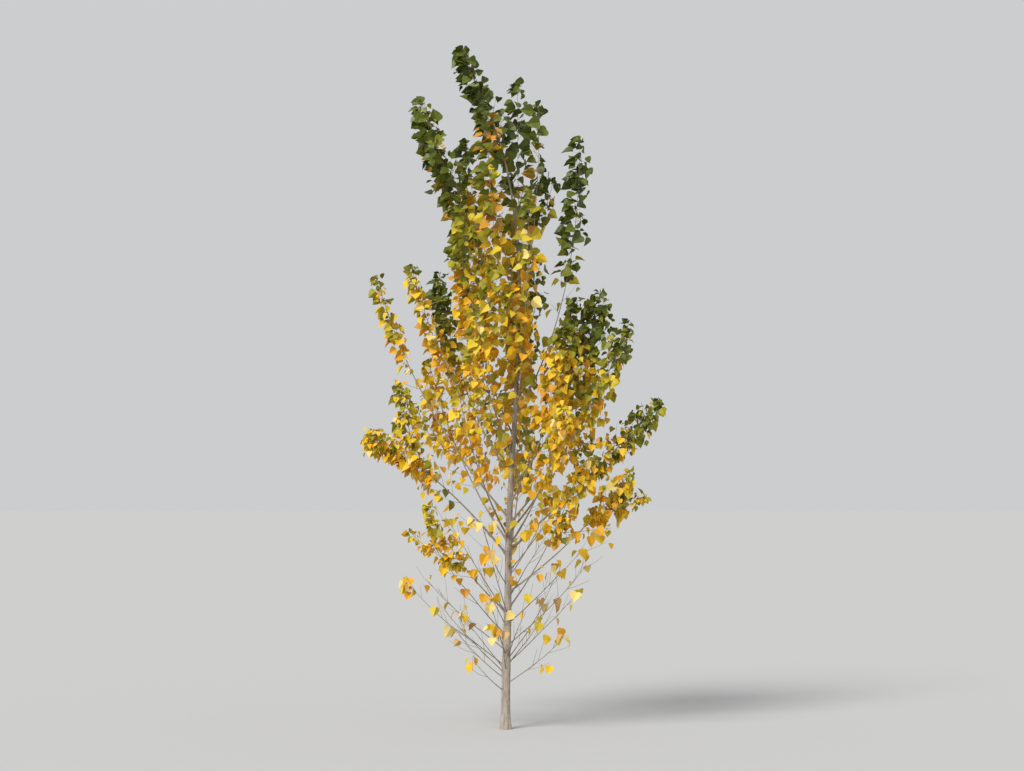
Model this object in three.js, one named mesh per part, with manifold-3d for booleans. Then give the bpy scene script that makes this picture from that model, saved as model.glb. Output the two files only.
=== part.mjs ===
// Young poplar tree in autumn leaf, rooted in level ground.
// Millimetres, +Z up, origin in the middle of the trunk's flat cut at ground level.
// X runs to the right and Y away from the side that the tree is seen from.
import * as THREE from "three";
import { mergeVertices } from "three/addons/utils/BufferGeometryUtils.js";
import Module from "manifold-3d";

const wasm = await Module();
wasm.setup();

// ---- driving dimensions -------------------------------------------------
const TREE_HEIGHT = 5360; // ground to the furthest leaf of the leader
const TRUNK_TOP = 5290; // the wood ends a little under the last leaves
const FOOT_RADIUS = 36; // trunk above the flare
const FLARE = 12; // extra radius of the root flare at the ground
const FLARE_FADE = 70; // height in which the flare dies out
const FLARE_LOBES = 5; // root ribs round the foot
const TIP_RADIUS = 2.6; // of the leader
const TAPER = 0.86; // below 1 the stem stays stout for longer
const WHORLS = [470, 1400, 2120, 3150]; // knuckles where the boughs crowd together
const WHORL_SWELL = 2.4; // extra radius at a knuckle
const JOIN_GAP = 0.6; // between a bough and the trunk
const MASS_GAP = 6; // between a mass of leaves and whatever it meets

// The trunk's line: how far it stands off the plumb line to the right and to the back, by height.
// It is nearly plumb up to the belly of the crown, then the leader is swept over to the left.
const LEAN = {
  height: [0, 250, 900, 1690, 2690, 3440, 4190, 4690, 5060, TRUNK_TOP],
  right: [0, 0, 16, 31, 86, 108, 46, -72, -234, -338],
  back: [0, 0, -8, -14, 6, 24, 34, 30, 18, 6],
};

// One row a bough: where it leaves the trunk (from), the compass heading, plan distance and height of the
// furthest leaf it carries (heading 0 is right, 90 back, 180 left, 270 front), how wide and how high its bend
// is (bow, rise), its radius at the trunk (girth), the share of its length at which leaves close round it
// (leafy), the mass's radius (plump) and where along the mass that is (belly).
const BOUGHS = [
  // topmost plumes
  { name: "top_left", from: 3080, heading: 175, reach: 690, top: 4965, bow: 0.5, rise: 0.4, girth: 6.5, leafy: 0.4, plump: 180, belly: 0.46 },
  { name: "top_inner_left", from: 3360, heading: 242, reach: 320, top: 4800, bow: 0.9, rise: 0.4, girth: 5.5, leafy: 0.36, plump: 125, belly: 0.45 },
  { name: "top_back", from: 3420, heading: 70, reach: 280, top: 5128, bow: 0.9, rise: 0.4, girth: 5.5, leafy: 0.44, plump: 135, belly: 0.45 },
  { name: "top_right", from: 3230, heading: 337, reach: 282, top: 4905, bow: 1.1, rise: 0.42, girth: 6, leafy: 0.42, plump: 135, belly: 0.5 },
  { name: "right_wand", from: 2450, heading: 355, reach: 585, top: 4645, bow: 1.0, rise: 0.36, girth: 6.5, leafy: 0.54, plump: 118, belly: 0.45 },
  { name: "front_top", from: 2940, heading: 248, reach: 360, top: 4560, bow: 0.85, rise: 0.36, girth: 6, leafy: 0.42, plump: 120, belly: 0.42 },
  { name: "back_upper", from: 2980, heading: 132, reach: 470, top: 4680, bow: 0.8, rise: 0.36, girth: 6, leafy: 0.42, plump: 115, belly: 0.42 },
  // belly of the crown
  { name: "front_left", from: 2130, heading: 226, reach: 470, top: 4010, bow: 0.86, rise: 0.36, girth: 7.5, leafy: 0.36, plump: 195, belly: 0.42 },
  { name: "front_right", from: 2230, heading: 292, reach: 490, top: 4130, bow: 0.8, rise: 0.36, girth: 7.5, leafy: 0.38, plump: 150, belly: 0.4 },
  { name: "left_flank", from: 1960, heading: 165, reach: 550, top: 3600, bow: 0.8, rise: 0.4, girth: 7, leafy: 0.45, plump: 135, belly: 0.45 },
  { name: "right_flank", from: 1760, heading: 326, reach: 580, top: 3160, bow: 0.72, rise: 0.36, girth: 8, leafy: 0.46, plump: 175, belly: 0.45 },
  { name: "back_left", from: 2280, heading: 126, reach: 640, top: 4130, bow: 0.74, rise: 0.36, girth: 7.5, leafy: 0.4, plump: 150, belly: 0.42 },
  { name: "back_right", from: 2180, heading: 76, reach: 560, top: 4180, bow: 0.76, rise: 0.36, girth: 7.5, leafy: 0.4, plump: 145, belly: 0.42 },
  { name: "back_middle", from: 1820, heading: 84, reach: 860, top: 3520, bow: 0.7, rise: 0.34, girth: 8.5, leafy: 0.44, plump: 175, belly: 0.45 },
  // side plumes that stand clear of the crown
  { name: "left_inner_plume", from: 2040, heading: 199, reach: 780, top: 3615, bow: 0.66, rise: 0.34, girth: 7, leafy: 0.56, plump: 98, belly: 0.42 },
  { name: "left_outer_plume", from: 1640, heading: 175, reach: 1030, top: 3565, bow: 0.72, rise: 0.44, girth: 8, leafy: 0.65, plump: 92, belly: 0.4 },
  { name: "right_upper_plume", from: 1880, heading: 12, reach: 778, top: 3445, bow: 0.74, rise: 0.38, girth: 8, leafy: 0.46, plump: 195, belly: 0.5 },
  { name: "right_outer_plume", from: 1600, heading: 351, reach: 985, top: 3190, bow: 0.64, rise: 0.42, girth: 8.5, leafy: 0.52, plump: 155, belly: 0.5 },
  // the wide low boughs
  { name: "low_left", from: 1340, heading: 190, reach: 1120, top: 2270, bow: 0.54, rise: 0.82, girth: 9.5, leafy: 0.5, plump: 165, belly: 0.6 },
  { name: "low_right", from: 1380, heading: 4, reach: 1242, top: 2570, bow: 0.54, rise: 0.5, girth: 10, leafy: 0.47, plump: 165, belly: 0.42 },
  { name: "low_front_left", from: 1480, heading: 248, reach: 965, top: 2660, bow: 0.66, rise: 0.38, girth: 9.5, leafy: 0.52, plump: 150, belly: 0.5 },
  { name: "low_front_right", from: 1420, heading: 298, reach: 1000, top: 2480, bow: 0.64, rise: 0.4, girth: 9.5, leafy: 0.52, plump: 165, belly: 0.5 },
  { name: "low_back", from: 1300, heading: 82, reach: 1090, top: 2460, bow: 0.62, rise: 0.4, girth: 9.5, leafy: 0.5, plump: 180, belly: 0.5 },
  { name: "low_back_left", from: 1450, heading: 129, reach: 1010, top: 2930, bow: 0.64, rise: 0.38, girth: 9.5, leafy: 0.5, plump: 175, belly: 0.5 },
  { name: "low_back_right", from: 1530, heading: 47, reach: 1090, top: 2820, bow: 0.62, rise: 0.38, girth: 9.5, leafy: 0.5, plump: 175, belly: 0.5 },
  // the lowest, thin ones
  { name: "lowest_right", from: 1060, heading: 339, reach: 1040, top: 2010, bow: 0.58, rise: 0.42, girth: 7.5, leafy: 0.62, plump: 125, belly: 0.5 },
  { name: "lowest_front", from: 930, heading: 314, reach: 840, top: 2080, bow: 0.6, rise: 0.4, girth: 7.5, leafy: 0.54, plump: 135, belly: 0.45 },
  { name: "lowest_left", from: 900, heading: 216, reach: 760, top: 1760, bow: 0.6, rise: 0.4, girth: 7.5, leafy: 0.42, plump: 135, belly: 0.5 },
];

// Second shoots. Each leaves its bough inside the bough's mass of leaves (at is the share of the bough's line)
// and swells that mass into a lobe round its own line, out to a furthest leaf of its own.
const LOBES = [
  { of: "top_right", at: 0.42, heading: 8, reach: 385, top: 4330, plump: 105 },
  { of: "front_left", at: 0.4, heading: 258, reach: 440, top: 3640, plump: 125 },
  { of: "front_right", at: 0.42, heading: 276, reach: 430, top: 3400, plump: 115 },
  { of: "right_upper_plume", at: 0.52, heading: 20, reach: 600, top: 3400, plump: 125 },
  { of: "back_middle", at: 0.48, heading: 64, reach: 640, top: 3760, plump: 115 },
  { of: "low_left", at: 0.54, heading: 176, reach: 850, top: 2700, plump: 115 },
  { of: "low_front_left", at: 0.55, heading: 224, reach: 860, top: 2330, plump: 105 },
  { of: "low_front_left", at: 0.5, heading: 252, reach: 700, top: 3260, plump: 120 },
  { of: "low_back_left", at: 0.54, heading: 152, reach: 850, top: 2560, plump: 115 },
  { of: "low_back_right", at: 0.54, heading: 34, reach: 860, top: 2260, plump: 115 },
  { of: "low_back", at: 0.54, heading: 104, reach: 880, top: 2920, plump: 125 },
  { of: "lowest_right", at: 0.66, heading: 347, reach: 1130, top: 1830, plump: 100 },
  { of: "lowest_front", at: 0.57, heading: 335, reach: 900, top: 1570, plump: 95 },
  { of: "lowest_left", at: 0.45, heading: 200, reach: 800, top: 1560, plump: 85 },
];
const LOBE_BOW = 0.66; // how wide and how high a lobe's bend is
const LOBE_RISE = 0.4;
const LOBE_BELLY = 0.6;

// Leaves that close round the leader itself, from one height to another.
const LEADER_MASSES = [
  { name: "leader_tip", from: 4400, to: TREE_HEIGHT, plump: 118, belly: 0.5 },
  { name: "leader_lower", from: 3560, to: 4360, plump: 110, belly: 0.5 },
  { name: "leader_belly", from: 2720, to: 3540, plump: 120, belly: 0.5 },
];

const TRUNK_SIDES = 10;
const TRUNK_RINGS = 20;
const BOUGH_SIDES = 6;
const BOUGH_RINGS = 5;
const MASS_SIDES = 7;
const MASS_RINGS = 8;
const LOBE_SIDES = 6;
const LOBE_RINGS = 5;
const BOUGH_ENDS_INSIDE = 0.05; // share of its line that a bough runs on into its mass
const BOUGH_THIN = 0.34; // a bough's radius where it ends, as a share of its girth

const BARK = { color: 0x8a8172, roughness: 0.8 };
const BOUGH_BARK = { color: 0x94866c, roughness: 0.8 };
const SHADES = [0x4f6a25, 0x6f8427, 0xb7a22a, 0xdcab22, 0xd99a2c]; // from a plume's green tip down to gold

// ---- helpers -------------------------------------------------------------
const V = (x, y, z) => new THREE.Vector3(x, y, z);
const RAD = Math.PI / 180;

// A value read off a table of heights, smoothly.
function tableCurve(spec) {
  const pts = spec.height.map((z, i) => V(spec.right[i], spec.back[i], z));
  return new THREE.CatmullRomCurve3(pts, false, "centripetal");
}
const trunkCurve = tableCurve(LEAN);
const TRUNK_STEPS = 400;
const trunkTable = Array.from({ length: TRUNK_STEPS + 1 }, (_, i) =>
  trunkCurve.getPoint(i / TRUNK_STEPS),
);
function trunkAt(z) {
  for (let i = 1; i <= TRUNK_STEPS; i++) {
    const a = trunkTable[i - 1];
    const b = trunkTable[i];
    if (z <= b.z) return a.clone().lerp(b, (z - a.z) / (b.z - a.z));
  }
  return trunkTable[TRUNK_STEPS].clone();
}
function trunkRadius(z) {
  const up = Math.min(Math.max(z / TRUNK_TOP, 0), 1);
  const swell = WHORLS.reduce(
    (s, w) => s + WHORL_SWELL * Math.exp(-(((z - w) / 70) ** 2)),
    0,
  );
  return (
    TIP_RADIUS + (FOOT_RADIUS - TIP_RADIUS) * (1 - up) ** (1 / TAPER) + swell * (1 - up)
  );
}

// A closed tube of rings along a line. point(t) gives the line, radius(t, a) its radius at angle a.
function tube(point, radius, rings, sides, spacing = (u) => u) {
  const ts = Array.from({ length: rings }, (_, i) => spacing(i / (rings - 1)));
  const centres = ts.map(point);
  const tangents = ts.map((t) => {
    const e = 0.004;
    return point(Math.min(t + e, 1)).sub(point(Math.max(t - e, 0))).normalize();
  });
  let side = V(1, 0, 0);
  const verts = [];
  const faces = [];
  centres.forEach((c, i) => {
    const n = tangents[i];
    side = side.clone().sub(n.clone().multiplyScalar(side.dot(n))).normalize();
    const up = n.clone().cross(side);
    for (let j = 0; j < sides; j++) {
      const a = (2 * Math.PI * j) / sides;
      const r = radius(ts[i], a);
      verts.push(
        c.clone().addScaledVector(side, r * Math.cos(a)).addScaledVector(up, r * Math.sin(a)),
      );
    }
  });
  for (let i = 0; i < rings - 1; i++)
    for (let j = 0; j < sides; j++) {
      const k = (j + 1) % sides;
      const [a, b, c, d] = [i * sides + j, i * sides + k, (i + 1) * sides + k, (i + 1) * sides + j];
      faces.push(a, b, c, a, c, d);
    }
  const first = verts.push(centres[0]) - 1;
  const last = verts.push(centres[rings - 1]) - 1;
  for (let j = 0; j < sides; j++) {
    const k = (j + 1) % sides;
    faces.push(first, k, j, last, (rings - 1) * sides + j, (rings - 1) * sides + k);
  }
  const g = new THREE.BufferGeometry();
  g.setAttribute(
    "position",
    new THREE.Float32BufferAttribute(verts.flatMap((v) => [v.x, v.y, v.z]), 3),
  );
  g.setIndex(faces);
  return g;
}

function toSolid(geometry) {
  const plain = mergeVertices(
    new THREE.BufferGeometry()
      .setAttribute("position", geometry.toNonIndexed().getAttribute("position")),
    1e-3,
  );
  return new wasm.Manifold(
    new wasm.Mesh({
      numProp: 3,
      vertProperties: new Float32Array(plain.attributes.position.array),
      triVerts: new Uint32Array(plain.index.array),
    }),
  );
}

function biggest(solid) {
  return solid.decompose().reduce((a, b) => (b.volume() > a.volume() ? b : a));
}

function toMesh(name, solid, look) {
  const m = solid.getMesh();
  const g = new THREE.BufferGeometry();
  const xyz = new Float32Array(m.numVert * 3);
  for (let i = 0; i < m.numVert; i++)
    xyz.set(m.vertProperties.subarray(i * m.numProp, i * m.numProp + 3), i * 3);
  g.setAttribute("position", new THREE.BufferAttribute(xyz, 3));
  g.setIndex(new THREE.BufferAttribute(new Uint32Array(m.triVerts), 1));
  g.computeVertexNormals();
  const mesh = new THREE.Mesh(
    g,
    new THREE.MeshStandardMaterial({ metalness: 0, flatShading: true, ...look }),
  );
  mesh.name = name;
  return mesh;
}

// ---- trunk ---------------------------------------------------------------
// Rings crowd towards the foot, where the flare is. The first ring is the flat cut.
const trunkSpacing = (u) => u ** 1.45;
function trunkGeometry(grow) {
  return tube(
    (t) => {
      const p = trunkAt(t * TRUNK_TOP);
      return p;
    },
    (t, a) => {
      const z = t * TRUNK_TOP;
      const flare = Math.exp(-z / FLARE_FADE);
      return (
        trunkRadius(z) +
        FLARE * flare * (1 + 0.45 * Math.cos(FLARE_LOBES * a + 0.7)) +
        0.6 * Math.sin(2 * a + z / 260) * (1 - t) +
        grow
      );
    },
    TRUNK_RINGS,
    TRUNK_SIDES,
    trunkSpacing,
  );
}

// ---- boughs --------------------------------------------------------------
function boughLine(b) {
  const start = trunkAt(b.from);
  const tip = V(b.reach * Math.cos(b.heading * RAD), b.reach * Math.sin(b.heading * RAD), b.top);
  const bend = V(
    start.x + (tip.x - start.x) * b.bow,
    start.y + (tip.y - start.y) * b.bow,
    start.z + (tip.z - start.z) * b.rise,
  );
  return new THREE.QuadraticBezierCurve3(start, bend, tip);
}
function boughGeometry(b, grow) {
  const line = boughLine(b);
  const end = b.leafy + BOUGH_ENDS_INSIDE;
  return tube(
    (t) => line.getPoint(t * end),
    (t) => b.girth * (1 - (1 - BOUGH_THIN) * t ** 0.9) + grow,
    BOUGH_RINGS,
    BOUGH_SIDES,
    (u) => u ** 1.2,
  );
}

// ---- masses of leaves ----------------------------------------------------
// Round cross-sections that swell to the belly and run out to the tip, with an unevenness of their own.
function plumpness(u, belly) {
  const power = Math.log(0.5) / Math.log(belly);
  const s = Math.sin(Math.PI * u ** power);
  return Math.max(s, 0) ** 0.62;
}
function massGeometry(point, plump, belly, seed, grow, rings = MASS_RINGS, sides = MASS_SIDES) {
  const w = (k) => ((seed * 12.9898 + k * 78.233) % 6.283);
  return tube(
    point,
    (u, a) => {
      const uneven =
        1 +
        0.13 * Math.sin(2 * a + w(1) + 4 * u) +
        0.11 * Math.sin(3 * a + w(2) - 7 * u) +
        0.12 * Math.sin(13 * u + w(3)) +
        0.07 * Math.sin(5 * a + w(4) + 9 * u);
      return Math.max(plump * plumpness(u, belly) * uneven, 14) + grow;
    },
    rings,
    sides,
    (u) => 0.02 + 0.96 * u,
  );
}

function lobeLine(l) {
  const start = boughLine(BOUGHS.find((b) => b.name === l.of)).getPoint(l.at);
  const tip = V(l.reach * Math.cos(l.heading * RAD), l.reach * Math.sin(l.heading * RAD), l.top);
  const bend = V(
    start.x + (tip.x - start.x) * LOBE_BOW,
    start.y + (tip.y - start.y) * LOBE_BOW,
    start.z + (tip.z - start.z) * LOBE_RISE,
  );
  return new THREE.QuadraticBezierCurve3(start, bend, tip);
}
// A mass and its lobes as one solid.
function massSolid(m, grow) {
  let solid = toSolid(massGeometry(m.point, m.plump, m.belly, m.seed, grow));
  m.lobes.forEach((l, i) => {
    const line = lobeLine(l);
    solid = solid.add(
      toSolid(
        massGeometry((u) => line.getPoint(u), l.plump, LOBE_BELLY, m.seed + 80 + i, grow, LOBE_RINGS, LOBE_SIDES),
      ),
    );
  });
  return solid;
}

// ---- assembly ------------------------------------------------------------
const tree = new THREE.Group();
tree.name = "poplar_tree";

const trunk = toSolid(trunkGeometry(0));
tree.add(toMesh("trunk", trunk, BARK));
const cutters = [toSolid(trunkGeometry(JOIN_GAP))];
const woodCutters = [toSolid(trunkGeometry(MASS_GAP))];

function cutBy(solid, tools) {
  let left = solid;
  for (const t of tools) {
    const common = left.intersect(t);
    if (!common.isEmpty()) left = left.subtract(t);
  }
  return left;
}

for (const b of BOUGHS) {
  const solid = biggest(cutBy(toSolid(boughGeometry(b, 0)), cutters));
  tree.add(toMesh("bough_" + b.name, solid, BOUGH_BARK));
  cutters.push(toSolid(boughGeometry(b, JOIN_GAP)));
  woodCutters.push(toSolid(boughGeometry(b, MASS_GAP)));
}

const masses = [
  ...LEADER_MASSES.map((m, i) => ({
    name: m.name,
    height: m.to,
    point: (u) => {
      const z = m.from + (m.to - m.from) * u;
      const p = trunkAt(Math.min(z, TRUNK_TOP));
      if (z > TRUNK_TOP) {
        const d = trunkAt(TRUNK_TOP).sub(trunkAt(TRUNK_TOP - 60)).normalize();
        p.addScaledVector(d, (z - TRUNK_TOP) / d.z);
      }
      return p;
    },
    plump: m.plump,
    belly: m.belly,
    seed: 51 + i,
    lobes: [],
  })),
  ...BOUGHS.map((b, i) => {
    const line = boughLine(b);
    return {
      name: b.name,
      height: b.top,
      point: (u) => line.getPoint(b.leafy + (1 - b.leafy) * u),
      plump: b.plump,
      belly: b.belly,
      seed: i + 1,
      lobes: LOBES.filter((l) => l.of === b.name),
    };
  }),
];
const taken = [];
for (const m of masses) {
  const whole = massSolid(m, 0);
  const solid = biggest(biggest(cutBy(whole, [...woodCutters, ...taken])).simplify(4));
  const shade = Math.min(
    SHADES.length - 1,
    Math.max(0, Math.floor(((TREE_HEIGHT - m.height) / (TREE_HEIGHT - 1800)) * SHADES.length)),
  );
  tree.add(toMesh("foliage_" + m.name, solid, { color: SHADES[shade], roughness: 0.7 }));
  taken.push(massSolid(m, MASS_GAP));
}

export default tree;
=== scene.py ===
"""Looks of a young poplar in autumn leaf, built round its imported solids. Metres, +Z up, foot of the trunk at the origin."""

import math

import bpy
import numpy as np
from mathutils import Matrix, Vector


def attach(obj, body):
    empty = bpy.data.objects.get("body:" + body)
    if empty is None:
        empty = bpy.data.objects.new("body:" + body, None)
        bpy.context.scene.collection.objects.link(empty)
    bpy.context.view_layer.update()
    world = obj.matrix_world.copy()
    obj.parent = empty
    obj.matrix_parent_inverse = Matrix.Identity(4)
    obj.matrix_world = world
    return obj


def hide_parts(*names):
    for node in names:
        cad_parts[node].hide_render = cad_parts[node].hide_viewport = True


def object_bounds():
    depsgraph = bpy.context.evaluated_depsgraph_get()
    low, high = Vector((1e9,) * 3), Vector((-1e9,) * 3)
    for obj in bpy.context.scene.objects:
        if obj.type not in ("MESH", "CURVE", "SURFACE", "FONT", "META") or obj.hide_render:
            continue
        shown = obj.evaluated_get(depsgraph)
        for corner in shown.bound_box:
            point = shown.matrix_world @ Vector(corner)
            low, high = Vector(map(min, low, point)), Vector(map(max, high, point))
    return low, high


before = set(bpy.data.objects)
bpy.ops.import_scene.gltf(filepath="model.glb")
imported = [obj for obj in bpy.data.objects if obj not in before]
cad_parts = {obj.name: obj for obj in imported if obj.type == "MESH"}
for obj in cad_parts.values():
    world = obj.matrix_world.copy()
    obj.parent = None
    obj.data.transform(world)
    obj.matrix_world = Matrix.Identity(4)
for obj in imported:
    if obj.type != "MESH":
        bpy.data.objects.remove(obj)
cad_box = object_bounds()

SEED = 20417
rng = np.random.default_rng(SEED)

# ---------------------------------------------------------------------------
# The skeleton: the same named sizes as the solids are worked out from, in mm.
# ---------------------------------------------------------------------------
TREE_HEIGHT = 5360
TRUNK_TOP = 5290
FOOT_RADIUS = 36
FLARE = 12
FLARE_FADE = 70
FLARE_LOBES = 5
TIP_RADIUS = 2.6
TAPER = 0.86
WHORLS = [470, 1400, 2120, 3150]
WHORL_SWELL = 2.4
BOUGH_ENDS_INSIDE = 0.05
BOUGH_THIN = 0.34
LEAN_HEIGHT = [0, 250, 900, 1690, 2690, 3440, 4190, 4690, 5060, TRUNK_TOP]
LEAN_RIGHT = [0, 0, 16, 31, 86, 108, 46, -72, -234, -338]
LEAN_BACK = [0, 0, -8, -14, 6, 24, 34, 30, 18, 6]

# name: from, heading, reach, top, bow, rise, girth, leafy, plump, belly as in the solids, then what only the looks
# need: green (metres of green leaves back from the tip), lush (leaf area against the plume's outline) and leaf (blade, m).
BOUGHS = {
    "top_left": (3080, 175, 690, 4965, 0.5, 0.4, 6.5, 0.4, 180, 0.46, 1.05, 3.0, 0.092),
    "top_inner_left": (3360, 242, 320, 4800, 0.9, 0.4, 5.5, 0.36, 125, 0.45, 0.6, 2.0, 0.088),
    "top_back": (3420, 70, 280, 5128, 0.9, 0.4, 5.5, 0.44, 135, 0.45, 1.0, 1.8, 0.092),
    "top_right": (3230, 337, 282, 4905, 1.1, 0.42, 6, 0.42, 135, 0.5, 0.95, 1.4, 0.09),
    "right_wand": (2450, 355, 585, 4645, 1.0, 0.36, 6.5, 0.54, 118, 0.45, 1.0, 2.6, 0.085),
    "front_top": (2940, 248, 360, 4560, 0.85, 0.36, 6, 0.42, 120, 0.42, 0.5, 0.8, 0.085),
    "back_upper": (2980, 132, 470, 4680, 0.8, 0.36, 6, 0.42, 115, 0.42, 0.55, 2.8, 0.085),
    "front_left": (2130, 226, 470, 4010, 0.86, 0.36, 7.5, 0.36, 195, 0.42, 0.16, 2.3, 0.088),
    "front_right": (2230, 292, 490, 4130, 0.8, 0.36, 7.5, 0.38, 150, 0.4, 0.2, 0.95, 0.088),
    "left_flank": (1960, 165, 550, 3600, 0.8, 0.4, 7, 0.45, 135, 0.45, 0.45, 3.3, 0.085),
    "right_flank": (1760, 326, 580, 3160, 0.72, 0.36, 8, 0.46, 175, 0.45, 0.16, 3.3, 0.088),
    "back_left": (2280, 126, 640, 4130, 0.74, 0.36, 7.5, 0.4, 150, 0.42, 0.6, 1.8, 0.085),
    "back_right": (2180, 76, 560, 4180, 0.76, 0.36, 7.5, 0.4, 145, 0.42, 0.55, 1.15, 0.085),
    "back_middle": (1820, 84, 860, 3520, 0.7, 0.34, 8.5, 0.44, 175, 0.45, 0.45, 1.25, 0.085),
    "left_inner_plume": (2040, 199, 780, 3615, 0.66, 0.34, 7, 0.56, 98, 0.42, -0.05, 2.8, 0.082),
    "left_outer_plume": (1640, 175, 1030, 3565, 0.72, 0.44, 8, 0.65, 92, 0.4, -0.02, 2.3, 0.08),
    "right_upper_plume": (1880, 12, 778, 3445, 0.74, 0.38, 8, 0.46, 195, 0.5, 0.55, 2.6, 0.09),
    "right_outer_plume": (1600, 351, 985, 3190, 0.64, 0.42, 8.5, 0.52, 155, 0.5, 0.28, 2.3, 0.09),
    "low_left": (1340, 190, 1120, 2270, 0.54, 0.82, 9.5, 0.5, 165, 0.6, -0.35, 3.5, 0.086),
    "low_right": (1380, 4, 1242, 2570, 0.54, 0.5, 10, 0.47, 165, 0.42, 0.3, 3.0, 0.086),
    "low_front_left": (1480, 248, 965, 2660, 0.66, 0.38, 9.5, 0.52, 150, 0.5, -0.15, 0.9, 0.088),
    "low_front_right": (1420, 298, 1000, 2480, 0.64, 0.4, 9.5, 0.52, 165, 0.5, -0.25, 2.3, 0.086),
    "low_back": (1300, 82, 1090, 2460, 0.62, 0.4, 9.5, 0.5, 180, 0.5, 0.2, 0.9, 0.084),
    "low_back_left": (1450, 129, 1010, 2930, 0.64, 0.38, 9.5, 0.5, 175, 0.5, -0.25, 1.5, 0.086),
    "low_back_right": (1530, 47, 1090, 2820, 0.62, 0.38, 9.5, 0.5, 175, 0.5, 0.05, 1.3, 0.086),
    "lowest_right": (1060, 339, 1040, 2010, 0.58, 0.42, 7.5, 0.62, 125, 0.5, -0.2, 3.1, 0.09),
    "lowest_front": (930, 314, 840, 2080, 0.6, 0.4, 7.5, 0.54, 135, 0.45, 0.0, 3.0, 0.09),
    "lowest_left": (900, 216, 760, 1760, 0.6, 0.4, 7.5, 0.42, 135, 0.5, -0.2, 1.7, 0.088),
}
KEYS = "start heading reach top bow rise girth leafy plump belly green lush leaf".split()
BOUGHS = {n: dict(zip(KEYS, v)) for n, v in BOUGHS.items()}
# Second shoots: of which bough, where along it, then heading, reach, top and plump as in the solids, and green, lush, leaf.
LOBES = [
    ("top_right", 0.42, 8, 385, 4330, 105, 0.3, 2.3, 0.085),
    ("front_left", 0.40, 258, 440, 3640, 125, -0.1, 2.8, 0.088),
    ("front_right", 0.42, 276, 430, 3400, 115, 0.0, 1.1, 0.088),
    ("right_upper_plume", 0.52, 20, 600, 3400, 125, 0.6, 2.6, 0.088),
    ("back_middle", 0.48, 64, 640, 3760, 115, 0.4, 1.4, 0.085),
    ("low_left", 0.54, 176, 850, 2700, 115, 0.15, 3.2, 0.086),
    ("low_front_left", 0.55, 224, 860, 2330, 105, -0.1, 0.9, 0.083),
    ("low_front_left", 0.5, 252, 700, 3260, 120, 0.0, 1.4, 0.083),
    ("low_back_left", 0.54, 152, 850, 2560, 115, -0.2, 1.0, 0.082),
    ("low_back_right", 0.54, 34, 860, 2260, 115, -0.1, 1.8, 0.082),
    ("low_back", 0.54, 104, 880, 2920, 125, 0.2, 1.4, 0.082),
    ("lowest_right", 0.66, 347, 1130, 1830, 100, -0.2, 2.9, 0.088),
    ("lowest_front", 0.57, 335, 900, 1570, 95, -0.3, 0.6, 0.088),
    ("lowest_left", 0.45, 200, 800, 1560, 85, -0.3, 1.9, 0.086),
]
LOBES = [dict(zip("of at heading reach top plump green lush leaf".split(), v)) for v in LOBES]
LOBE_BOW = 0.66
LOBE_RISE = 0.4
LOBE_BELLY = 0.6
LEADER_MASSES = {
    "leader_tip": dict(low=4400, high=TREE_HEIGHT, plump=118, belly=0.5, green=1.2, lush=4.6, leaf=0.094),
    "leader_lower": dict(low=3560, high=4360, plump=110, belly=0.5, green=0.25, lush=0.7, leaf=0.085),
    "leader_belly": dict(low=2720, high=3540, plump=120, belly=0.5, green=-0.3, lush=1.8, leaf=0.088),
}
LEAF_SCALE, HIGH_LEAF_SCALE = 0.93, 1.07  # the strong shoots at the top have the largest leaves
for _m in [*BOUGHS.values(), *LOBES, *LEADER_MASSES.values()]:
    _m["leaf"] *= float(np.interp(_m["top"] if "top" in _m else _m["high"], [3600, 4500], [LEAF_SCALE, HIGH_LEAF_SCALE]))
# Thin, nearly bare shoots below the lowest leafy bough: height on the trunk, heading, length in metres, lean from
# the upright in degrees, and how many of the leaves near the end are left.
BARE_SHOOTS = [
    (0.30, 216, 0.42, 60, 3), (0.36, 338, 0.62, 58, 4), (0.40, 202, 0.56, 55, 3), (0.44, 205, 0.7, 48, 1), (0.47, 150, 0.58, 44, 1),
    (0.49, 96, 0.5, 48, 2), (0.50, 42, 0.62, 45, 2), (0.46, 262, 0.42, 40, 3), (0.52, 344, 0.8, 50, 2), (0.55, 320, 0.84, 42, 3),
    (0.56, 292, 0.52, 47, 1), (0.58, 246, 0.5, 42, 2), (0.50, 186, 1.0, 56, 8), (0.62, 190, 0.84, 50, 1), (0.66, 8, 0.9, 48, 2),
    (0.74, 182, 0.9, 46, 2), (0.79, 118, 0.6, 50, 3), (0.83, 12, 0.8, 48, 3), (0.9, 250, 0.62, 36, 3), (0.92, 168, 0.8, 44, 1),
    (1.02, 58, 0.66, 49, 3), (1.12, 232, 0.6, 44, 2), (1.2, 318, 0.5, 46, 2), (1.24, 20, 0.7, 45, 1),
]

UP = np.array([0.0, 0.0, 1.0])
WIND = np.array([-1.0, 0.12, 0.0])  # the wind blows from the right


def unit(v):
    v = np.asarray(v, float)
    return v / max(np.linalg.norm(v), 1e-9)


def perpendicular(t, hint=np.array([1.0, 0.0, 0.0])):
    u = hint - t * hint.dot(t)
    if np.linalg.norm(u) < 1e-3:
        u = np.array([0.0, 1.0, 0.0]) - t * t[1]
    return unit(u)


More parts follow.
